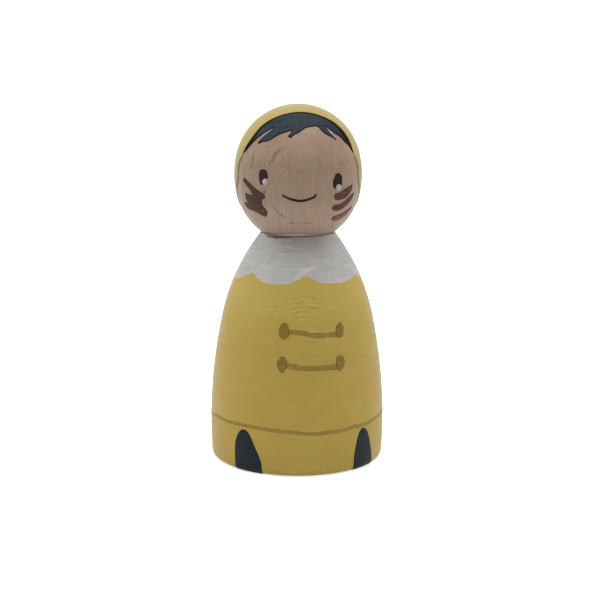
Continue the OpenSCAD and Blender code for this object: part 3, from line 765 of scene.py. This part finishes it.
def add_grain_and_painted_light(laid, height):
    """The arches of the body's grain, showing through the coat's paint in front, with a painted
    highlight on each ridge and painted shade below it, and the coat painted lighter towards the
    shoulders as painted top light.
    """
    place, x, y, z = skin_place(laid.tree)
    shaky = place.noise((0.7, 0.7, 0.9), 3.0, 0.6)
    broken = place.noise((0.55, 0.55, 1.3)).step(0.36, 0.52)
    front = y.step(-8.0, -11.0)
    # Painted light: the coat's colour lifted towards the shoulders, as if lit from above.
    laid = laid.under((z.step(27.0, 41.0, 0.0, 0.4), linear(194, 172, 88)))
    for middle, half, foot, top, strength in COAT_ARCHES:
        across = x - middle
        bowed = shaky * 1.3 + (across ** 2.0 * ARCH_BOW + z)
        turn = (bowed / ARCH_SPACING).maths("FRACT")
        patch = abs(across).step(half * 0.65, half, 1.0, 0.0) * front * broken
        patch *= z.step(foot, foot + ARCH_FADE) * z.step(top - ARCH_FADE, top, strength, 0.0)
        # Painted highlight on each ridge, which also lifts the bump, and painted shade in the
        # valley below it.
        ridge_and_highlight = turn.step(0.0, 0.28) * turn.step(0.3, 0.62, 1.0, 0.0) * patch
        valley_painted_shade = turn.step(0.62, 0.84) * patch
        laid = laid.under((ridge_and_highlight * 0.42, linear(196, 172, 92)),
                          (valley_painted_shade * 0.34, linear(132, 106, 38)))
        height = ridge_and_highlight * 1.6 + height
    return laid, height


def shade_under_chin(laid, height):
    """Brush dashes, a smear, and painted shade on the collar close under the head."""
    place, x, y, z = skin_place(laid.tree)
    near = abs(x - 0.6).step(2.5, 8.5, 1.0, 0.0) * y.step(0.0, -6.0)
    dashes = place.noise((0.22, 0.22, 2.7), 3.0)
    pale = dashes.step(0.58, 0.66, 0.0, 0.5)
    # Painted shade: the collar greyed in front close under the head, where the head shades it.
    laid = laid.under((near * z.step(45.0, 51.5, 0.12, 0.85), linear(148, 140, 138)),
                      (pale, linear(198, 197, 192)),
                      (dashes.step(0.3, 0.38, 0.5, 0.0), linear(146, 143, 138)))
    laid, height = draw_marks(laid, height, x, z, y.step(-8.0, -10.0), COLLAR_SMEARS, 0.5,
                              linear(204, 202, 196), 1.0)
    return laid, pale * 1.2 + height


def darken_hair_ends(laid, height):
    """The hair turns dark maroon at both sides and nearly black along the hood."""
    place, x, y, _ = skin_place(laid.tree)
    mottle = place.noise((0.4, 0.4, 0.8), 3.0)
    return laid.under(
        (abs(x).step(7.5, 10.0, 0.0, 0.95), linear(50, 37, 40)),
        (abs(x - 1.5).step(1.0, 6.0, 0.25, 0.0), linear(66, 73, 82)),
        (mottle.step(0.5, 0.62, 0.0, 0.5), linear(48, 56, 58)),
        (kept(laid.tree, "rim").step(0.2, 0.75, 0.75, 0.0), linear(34, 30, 30)),
        ((x * -0.05 + y).step(-7.8, -7.35, 0.0, 0.9), linear(32, 29, 18))), height


def stain_and_light_glue(laid, height):
    """The glue is painted pale where it meets the head, a painted highlight along the bead's top
    set against the shade under the head; it is dark below and clear at the sides.
    """
    lower, clear = kept(laid.tree, "lower"), kept(laid.tree, "stain") * -1.0 + 1.0
    # Painted light: the upper part of the bead made pale.
    return laid.under((lower.step(0.3, 0.6, 0.8, 0.0), linear(190, 166, 154)),
                      (clear, linear(158, 152, 146))), height


def fade_to_wood(laid, height):
    """The hood's paint lies thin low down beside the face and the wood shows."""
    place, _, y, z = skin_place(laid.tree)
    level = place.noise((0.3, 0.3, 0.3)) * 3.0 + z
    strokes = place.noise((0.12, 0.12, 1.5), 3.0, 0.6)
    beside = (strokes * 9.0 + y).step(2.6, 5.2, 1.0, 0.0)
    return laid.under(
        (level.step(71.0, 79.0, 0.5, 0.0) * beside, linear(174, 164, 88)),
        (level.step(66.0, 73.5, 0.8, 0.0) * beside, linear(158, 144, 112))), height


def clothe(node, material):
    """Gives a CAD node its finish."""
    slots = CAD[node].material_slots
    if not slots:
        CAD[node].data.materials.append(material)
    for slot in slots:
        slot.material = material


# Operators

class DOLL_OT_wood(bpy.types.Operator):
    """Finish the turned head, the body and the hidden dowel as bare beech"""

    bl_idname = "doll.wood"
    bl_label = "Turned wood"

    def execute(self, context):
        make_beech_group()
        make_paint_group()
        clothe("head", beech_material(
            "beech_of_head", (-42.1, -4.0), 2.8, 0.75, 0.8, wander=0.8, clear_below=60.5,
            face=True))
        clothe("body", beech_material("beech_of_body", (2.2, 30.0), 2.1, 0.5, 0.6, wander=2.2))
        clothe("neck_dowel", beech_material(
            "beech_of_dowel", (12.0, 3.0), 1.6, 0.5, 0.5, linear(196, 172, 140)))
        return {"FINISHED"}


# In millimetres: how far under the neck's top the collar ends, the height from which its
# solid's skin counts as outer, how far down its edge can't be the top one, and its overlap
COLLAR_GAP, COLLAR_SKIN, COLLAR_TOP_BAND, COLLAR_OVERLAP = 0.02, 0.1, 4, 0.05

# The collar's ring: columns of points, how far in from its lower edge the close rows lie in
# millimetres, and how many wider rows go on to the neck
COLLAR_COLUMNS, COLLAR_WIDE_ROWS = 720, 22
COLLAR_STEPS = (0, 0.04, 0.1, 0.18, 0.28, 0.4, 0.55, 0.75)

# The collar's paint in millimetres: the height of its edge, its thickness, the brush marks,
# the rounding of its edge, the height, place and width of the roll, and the width of its rim
COLLAR_BASE, COLLAR_THICK, COLLAR_MARKS, COLLAR_ROUND = 0.13, 0.03, 0.012, 0.12
ROLL_HEIGHT, ROLL_PLACE, ROLL_WIDTH = 0.07, 0.28, 0.2
COLLAR_RIM = 0.9


class DOLL_OT_coat(bpy.types.Operator):
    """Paint the coat, the collar and the hood"""

    bl_idname = "doll.coat"
    bl_label = "Coat, collar and hood"

    def execute(self, context):
        colours = context.scene.doll_colours
        # The coat and the hood get a painted sheen that greys them at flat angles.
        clothe("coat", paint_material(
            "coat_ochre_paint", colours.ochre, colours.ochre_worn, 0.24, 1.0, 0.25,
            finish=add_grain_and_painted_light, painted_sheen=(linear(166, 154, 116), 0.45)))
        self.collar(context.scene.doll_shape.neck_height - COLLAR_GAP * MM, paint_material(
            "collar_white_paint", colours.collar, colours.collar_streak, 0.35, 0.6, 0.2, 0.9,
            rim_tint=(1.14, 1.1, 1.09), patch=3.0, finish=shade_under_chin))
        yellow = paint_material(
            "hood_yellow_paint", colours.hood_yellow, colours.ochre_worn, 0.4, 0.9, 0.3,
            patch=2.5, finish=fade_to_wood, painted_sheen=(linear(166, 158, 134), 0.65))
        solid = CAD["hood"].data
        new_piece("hood_paint", [swept_round(v.co) for v in solid.vertices],
                  [tuple(face.vertices) for face in solid.polygons], "hood", yellow)
        return {"FINISHED"}

    def lower_edge(self, top):
        """Azimuths and heights along the scallops, with one more point at either end."""
        edges, flats = free_edges("collar", BodyMap(1.0), COLLAR_SKIN * MM)
        low = sorted({(flats[i].x, flats[i].y) for edge in edges for i in edge
                      if flats[i].y < top - COLLAR_TOP_BAND * MM})
        (first, first_z), (last, last_z) = low[0], low[-1]
        return [(last - 2 * math.pi, last_z), *low, (first + 2 * math.pi, first_z)]

    def collar(self, top, material):
        """A ring of thick paint with a rolled, scalloped lower edge."""
        low = self.lower_edge(top)
        k, points, rim = 0, [], []
        for azimuth in round_the_doll(COLLAR_COLUMNS):
            while low[k + 1][0] < azimuth:
                k += 1
            (before, here), (after, there) = low[k:k + 2]
            t = (azimuth - before) / (after - before) if after - before > TINY else 0.0
            edge = here * (1 - t) + there * t - COLLAR_OVERLAP * MM
            way = facing(azimuth)
            heights = [edge + step * MM for step in COLLAR_STEPS]
            rest = top - heights[-1]
            heights += [heights[-1] + rest * j / COLLAR_WIDE_ROWS
                        for j in range(1, COLLAR_WIDE_ROWS + 1)]
            for z in heights:
                inward = (z - edge) / MM
                roll = ROLL_HEIGHT * math.exp(-((inward - ROLL_PLACE) / ROLL_WIDTH) ** 2)
                marks = COLLAR_MARKS * noise.noise(Vector((way.x * 5, way.y * 5, z / MM * 4)))
                lift = COLLAR_BASE + (COLLAR_THICK + roll + marks) * math.sqrt(
                    min(1.0, inward / COLLAR_ROUND))
                points.append(body_point(azimuth, z, lift * MM))
                rim.append(min(1.0, inward / COLLAR_RIM))
        faces = ring_faces(COLLAR_COLUMNS, len(COLLAR_STEPS) + COLLAR_WIDE_ROWS)
        store_shares(new_piece("collar_paint", points, faces, "collar", material), "rim", rim)


class DOLL_OT_face(bpy.types.Operator):
    """Paint the hair, the hood's edge, the eyes, the mouth and the cheeks"""

    bl_idname = "doll.face"
    bl_label = "Face and hair"

    def execute(self, context):
        colours = context.scene.doll_colours
        head = HeadMap()
        hair = paint_material("hair_paint", colours.hair, linear(68, 77, 87), 0.5, 0.7, 0.1, 1.0,
                              shine=0.0, rim_tint=(0.4, 0.34, 0.32), finish=darken_hair_ends)
        paint_patch("hair_fringe_paint", "hair_fringe", head, hair, spacing=0.35,
                    move=laid_lock)
        line = paint_material("hood_line_paint", colours.hood_line, linear(138, 124, 80), 0.7)
        for side in ("left", "right"):
            paint_patch(f"hood_line_{side}_paint", f"hood_line_{side}", head, line, spacing=0.25)
        for side, tint, thin in (("left", colours.left_eye, linear(66, 40, 42)),
                                 ("right", colours.right_eye, linear(40, 28, 34))):
            paint = paint_material(f"{side}_eye_paint", tint, thin, 0.4, 1.0, 0.0, 0.4, shine=0.12)
            paint_patch(f"{side}_eye_paint", f"{side}_eye", head, paint, spacing=0.2, taut=True)
        mouth = paint_material("mouth_paint", colours.mouth, linear(56, 36, 28), 0.5, 1.2, 0.0,
                               shine=0.1)
        paint_patch("mouth_paint", "mouth", head, mouth, round_off=0.1, spacing=0.14)
        self.cheeks(colours, head)
        return {"FINISHED"}

    def cheeks(self, colours, head):
        """A blot on the left cheek and three strokes on the right."""
        for label, tint, thin, streak, rim, rim_tint, nodes in (
                ("left_cheek", colours.left_cheek, linear(96, 68, 54), 0.4, 0.9,
                 (0.6, 0.48, 0.42), ("left_cheek",)),
                ("right_cheek", colours.right_cheek, linear(110, 78, 62), 0.4, 0.8,
                 (0.66, 0.55, 0.5), ("right_cheek_upper", "right_cheek_middle")),
                ("pink_cheek", colours.cheek_pink, linear(134, 99, 86), 0.5, 1.0,
                 (0.5, 0.38, 0.34), ("right_cheek_lower",))):
            paint = paint_material(label + "_paint", tint, thin, streak, 0.8, 0.0, rim,
                                   shine=0.1, rim_tint=rim_tint, patch=5.0)
            for node in nodes:
                paint_patch(node + "_paint", node, head, paint, spacing=0.22)


class DOLL_OT_dots(bpy.types.Operator):
    """Set a raised round dot of light paint in each eye"""

    bl_idname = "doll.dots"
    bl_label = "Eye dots"

    def execute(self, context):
        light = paint_material("eye_dot_paint", context.scene.doll_colours.dots,
                               linear(190, 178, 172), 0.4, 1.0, 0.0, 0.5, coat=0.2)
        for side in ("left", "right"):
            paint_patch(f"{side}_eye_dot_paint", f"{side}_eye_dot", HeadMap(), light,
                        thick=0.4, round_off=0.62, spacing=0.12, streak=0.02,
                        streak_way=(1.5, 1.5), lowest=0.3)
        return {"FINISHED"}


class DOLL_OT_toggles(bpy.types.Operator):
    """Paint the toggles and the boots on the coat"""

    bl_idname = "doll.toggles"
    bl_label = "Toggles and boots"

    def execute(self, context):
        colours = context.scene.doll_colours
        for label, tint, thin, parts in (
                ("toggle_knob", colours.toggle, linear(150, 128, 54), ("left_knob", "right_knob")),
                ("toggle_cord", colours.cord, linear(172, 148, 74), ("cord",))):
            ochre = paint_material(label + "_paint", tint, thin, 0.4, 1.1, 0.0, 0.6,
                                   rim_tint=(0.64, 0.6, 0.42), patch=7.0)
            for level in ("upper", "lower"):
                for part in parts:
                    self.on_coat(f"{level}_toggle_{part}", 18 * MM, ochre, 0.2)
        boots = paint_material("boot_paint", colours.boots, linear(38, 47, 53), 0.5, 0.8, 0.05,
                               0.6, shine=0.1)
        for side in ("left", "right"):
            self.on_coat(f"{side}_boot", 20 * MM, boots, 0.3)
        return {"FINISHED"}

    def on_coat(self, node, reach, paint, spacing):
        """A patch of paint that lies on the coat's."""
        paint_patch(node + "_paint", node, BodyMap(reach), paint, base=COAT_THICK, thick=0.11,
                    spacing=spacing, lowest=0.2)


# The middle of the hem line: degrees round from the front, to the right in front, and heights
HEM_DEGREES = (-90, -76, -67, -60, -50, -42, -31, -22, -14, -7, 1, 6, 11, 16, 21, 27, 33, 39,
               43, 52, 57, 62, 70, 84, 110, 140, 175, 210, 240, 270)
HEM_HEIGHTS = (9.9, 9.88, 10.45, 10.64, 10.51, 10.63, 10.67, 10.56, 10.4, 10.28, 10.09, 9.86,
               9.77, 9.8, 9.83, 9.88, 9.98, 10.27, 10.12, 10.15, 10.24, 10.48, 10.65, 10.5,
               10.2, 10.05, 10.35, 10.6, 10.3, 9.9)

# Columns of points round the line, its rows in shares of its half width, then that half width
# and the line's thickness in millimetres
HEM_COLUMNS = 480
HEM_ROWS = (-1.0, -0.85, -0.5, 0.0, 0.5, 0.85, 1.0)
HEM_HALF, HEM_THICK = 0.4, 0.06


class DOLL_OT_hem(bpy.types.Operator):
    """Draw the uneven line round the hem"""

    bl_idname = "doll.hem"
    bl_label = "Hem line"

    def execute(self, context):
        material = paint_material("hem_paint", context.scene.doll_colours.hem,
                                  linear(160, 135, 62), 0.6, 1.2, 0.0, 0.3, patch=6.0)
        points, rim = [], []
        for i in range(HEM_COLUMNS):
            degrees = -90 + 360 * i / HEM_COLUMNS
            k = max(j for j, d in enumerate(HEM_DEGREES) if d <= degrees)
            t = eased(degrees, *HEM_DEGREES[k:k + 2])
            turn = math.radians(degrees)
            way = Vector((math.cos(turn), math.sin(turn), 0))
            half = HEM_HALF + 0.1 * noise.noise(way * 4) + 0.05 * noise.noise(way * 19)
            middle = HEM_HEIGHTS[k] * (1 - t) + HEM_HEIGHTS[k + 1] * t
            middle += 0.04 * noise.noise(way * 11 + Vector((5, 0, 0)))
            for row in HEM_ROWS:
                marks = 0.02 * noise.noise(way * 30 + Vector((0, 0, row * 3)))
                lift = COAT_THICK + (HEM_THICK + marks) * math.sqrt(1 - abs(row) ** 3)
                lift -= SUNK if abs(row) == 1 else 0
                points.append(body_point(turn, (middle + row * half) * MM, lift * MM))
                rim.append(1 - abs(row))
        piece = new_piece("hem_line_paint", points, ring_faces(HEM_COLUMNS, len(HEM_ROWS)),
                          "hem_line", material)
        store_shares(piece, "rim", rim)
        return {"FINISHED"}


# The glue's bead: points round the neck and round the bead
BEAD_COLUMNS, BEAD_ROWS = 480, 16

# How far the bead reaches out, down and up in millimetres: least, more in front, unevenness
# and its pitch, and more at the smear or where it covers the chin
BEAD_REACHES = ((0.04, 0.1, 0.04, 9, 0.14), (0.08, 0.14, 0.09, 15, 0.4),
                (0.08, 0.1, 0.04, 13, 0.34))
BEAD_MIDDLE = 0.14

# Degrees round from the front: the smear's two ends, the end of the front on either side, and
# the middle and half width of the place where the glue covers the chin
SMEAR_ENDS, FRONT_END = (-54, -16), 49
COVER_MIDDLE, COVER_HALF = -2, 24


def risen(value, middle, softness):
    """A share that goes from 0 to 1 softly as a value passes a middle."""
    return 1 / (1 + math.exp((middle - value) / softness))


class DOLL_OT_glue(bpy.types.Operator):
    """Squeeze the ragged bead of glue out at the neck"""

    bl_idname = "doll.glue"
    bl_label = "Neck glue"

    def execute(self, context):
        neck = context.scene.doll_shape.neck_height
        material = paint_material(
            "glue_bead", context.scene.doll_colours.glue, linear(112, 94, 88), 0.7, 0.6, 0.0,
            0.6, bump=0.05, shine=0.15, patch=6.0, finish=stain_and_light_glue)
        points, rim, lower, stain = [], [], [], []
        for azimuth in round_the_doll(BEAD_COLUMNS):
            way = facing(azimuth)
            front, (out, low, high) = self.reaches(math.degrees(azimuth), way)
            for j in range(BEAD_ROWS):
                turn = 2 * math.pi * j / BEAD_ROWS
                rise = math.sin(turn)
                bulge = 1 + 0.15 * noise.noise(way * 16 + Vector((0, 0, j)))
                level = neck + rise * bulge * MM * (high if rise > 0 else low)
                reach = neck_reach(level) + (BEAD_MIDDLE + math.cos(turn) * out * bulge) * MM
                points.append(way * reach + Vector((0, 0, level)))
                rim.append(1 - abs(rise))
                lower.append(0.5 - rise / 2)
                stain.append(front)
        piece = new_piece("neck_glue_bead", points, ring_faces(BEAD_COLUMNS, BEAD_ROWS, True),
                          "neck_glue", material)
        for label, shares in (("rim", rim), ("lower", lower), ("stain", stain)):
            store_shares(piece, label, shares)
        return {"FINISHED"}

    def reaches(self, degrees, way):
        """How far a place is in front, and how far the bead reaches out, down and up there."""
        smear = risen(degrees, SMEAR_ENDS[0], 3) * risen(-degrees, -SMEAR_ENDS[1], 5)
        smear *= 1 + 0.35 * noise.noise(way * 7 + Vector((3, 0, 0)))
        front = risen(-abs(degrees), -FRONT_END, 5)
        cover = math.exp(-((degrees - COVER_MIDDLE) / COVER_HALF) ** 2)
        return front, [
            least + more * front + uneven * noise.noise(way * pitch) + most * there
            for (least, more, uneven, pitch, most), there in zip(
                BEAD_REACHES, (smear, smear, cover))]


# The floor sheet in metres: half its width, its front, where it bends up, how high, and the
# radius of the bend; then how bright it looks by itself
FLOOR_HALF, FLOOR_FRONT, FLOOR_BACK, FLOOR_RISE, FLOOR_BEND = 2.4, -1.6, 0.9, 1.4, 0.25
FLOOR_GLOW = 0.55

# The point that the lamps are aimed at, and each one's name, place, width, height and power
LAMP_AIM = (0, 0, 0.045)
LAMPS = (("left_window", (-0.7, 0.0, 0.45), 0.6, 0.7, 1.5),
         ("right_window", (0.7, 0.05, 0.45), 0.6, 0.7, 1.15),
         ("top_light", (0.0, 0.1, 0.9), 0.8, 0.8, 5.0))


def seen_straight(tree):
    """1 for what the camera sees by itself, in a gloss or through glass, and 0 for its light."""
    rays = add(tree, "ShaderNodeLightPath")
    seen = Value(rays, "Is Camera Ray") + Value(rays, "Is Glossy Ray")
    return (seen + Value(rays, "Is Transmission Ray")).clamped()


class DOLL_OT_stage(bpy.types.Operator):
    """Set up the floor, the soft light and the camera"""

    bl_idname = "doll.stage"
    bl_label = "Stage"

    def execute(self, context):
        scene = context.scene
        scene.view_settings.view_transform = "Standard"
        self.floor(scene)
        self.sky(scene)
        for lamp in LAMPS:
            self.hang(scene, *lamp)
        self.camera(scene)
        return {"FINISHED"}

    def floor(self, scene):
        """A white sheet that bends up behind the doll."""
        bend = [math.radians(degrees) for degrees in range(0, 91, 6)]
        profile = [(FLOOR_FRONT, 0.0), *(
            (FLOOR_BACK + math.sin(a) * FLOOR_BEND, FLOOR_BEND - math.cos(a) * FLOOR_BEND)
            for a in bend), (FLOOR_BACK + FLOOR_BEND, FLOOR_RISE)]
        points = [(x, y, z) for y, z in profile for x in (-FLOOR_HALF, FLOOR_HALF)]
        faces = [(2 * i, 2 * i + 1, 2 * i + 3, 2 * i + 2) for i in range(len(profile) - 1)]
        mesh = bpy.data.meshes.new("floor_sheet")
        mesh.from_pydata(points, [], faces)
        mesh.polygons.foreach_set("use_smooth", [True] * len(faces))
        sheet = bpy.data.objects.new("floor_sheet", mesh)
        scene.collection.objects.link(sheet)
        made, tree, shader = new_material("floor_paper", 0.9, shine=0.0)
        fill(shader.inputs["Base Color"], scene.doll_stage.floor_white)
        glow = add(tree, "ShaderNodeEmission", {
            "Color": (1, 1, 1), "Strength": seen_straight(tree) * FLOOR_GLOW})
        both = add(tree, "ShaderNodeAddShader", {0: Value(shader), 1: Value(glow)})
        out = next(n for n in tree.nodes if n.type == "OUTPUT_MATERIAL")
        fill(out.inputs["Surface"], Value(both))
        mesh.materials.append(made)

    def sky(self, scene):
        """An even white sky, whose light is half as bright as it looks."""
        scene.world = bpy.data.worlds.new("studio")
        scene.world.use_nodes = True
        tree = scene.world.node_tree
        sky = next(n for n in tree.nodes if n.type == "BACKGROUND")
        fill(sky.inputs["Color"], (1, 1, 1))
        fill(sky.inputs["Strength"], seen_straight(tree).step(0.0, 1.0, 0.5, 1.0))

    def hang(self, scene, name, place, width, height, power):
        """A soft rectangular lamp aimed at the doll."""
        lamp = bpy.data.lights.new(name, "AREA")
        lamp.shape = "RECTANGLE"
        lamp.size, lamp.size_y, lamp.energy = width, height, power
        made = bpy.data.objects.new(name, lamp)
        made.location = place
        aim = Vector(LAMP_AIM) - Vector(place)
        made.rotation_euler = aim.to_track_quat("-Z", "Y").to_euler()
        scene.collection.objects.link(made)

    def camera(self, scene):
        """The camera that the photograph was taken with, as near as it can be told."""
        look = scene.doll_stage
        camera = bpy.data.cameras.new("camera")
        camera.lens, camera.sensor_width = look.lens, 36
        camera.clip_start, camera.clip_end = 0.01, 10
        holder = bpy.data.objects.new("camera", camera)
        turn = Matrix.Rotation(math.pi / 2 - look.camera_pitch, 4, "X") @ Matrix.Rotation(
            look.camera_roll, 4, "Z")
        holder.matrix_world = Matrix.Translation(
            (look.camera_side, -look.camera_back, look.camera_height)) @ turn
        scene.collection.objects.link(holder)
        scene.camera = holder


class DOLL_PT_panel(bpy.types.Panel):
    """Lists the steps in the order in which they are run."""

    bl_idname = "DOLL_PT_panel"
    bl_label = "Painted peg doll"
    bl_space_type = "VIEW_3D"
    bl_region_type = "UI"
    bl_category = "Peg doll"

    def draw(self, context):
        for step in STEPS:
            self.layout.operator(step.bl_idname)
        for name, kind in SETTINGS.items():
            box = self.layout.box()
            for key in kind.__annotations__:
                box.prop(getattr(context.scene, name), key)


STEPS = (DOLL_OT_stage, DOLL_OT_wood, DOLL_OT_coat, DOLL_OT_face, DOLL_OT_dots,
         DOLL_OT_toggles, DOLL_OT_hem, DOLL_OT_glue)
SETTINGS = {"doll_shape": DollShape, "doll_colours": PaintColours, "doll_stage": StageLook}
CLASSES = (*SETTINGS.values(), *STEPS, DOLL_PT_panel)


def register():
    """Adds the classes and the scene's settings."""
    for each in CLASSES:
        bpy.utils.register_class(each)
    for name, kind in SETTINGS.items():
        setattr(bpy.types.Scene, name, bpy.props.PointerProperty(type=kind))


def unregister():
    """Takes the classes and the settings away again."""
    for name in SETTINGS:
        delattr(bpy.types.Scene, name)
    for each in reversed(CLASSES):
        bpy.utils.unregister_class(each)


def main():
    """Builds the doll's looks in order."""
    register()
    bpy.ops.doll.stage()
    bpy.ops.doll.wood()
    bpy.ops.doll.coat()
    bpy.ops.doll.face()
    bpy.ops.doll.dots()
    bpy.ops.doll.toggles()
    bpy.ops.doll.hem()
    bpy.ops.doll.glue()


if __name__ == "__main__":
    main()
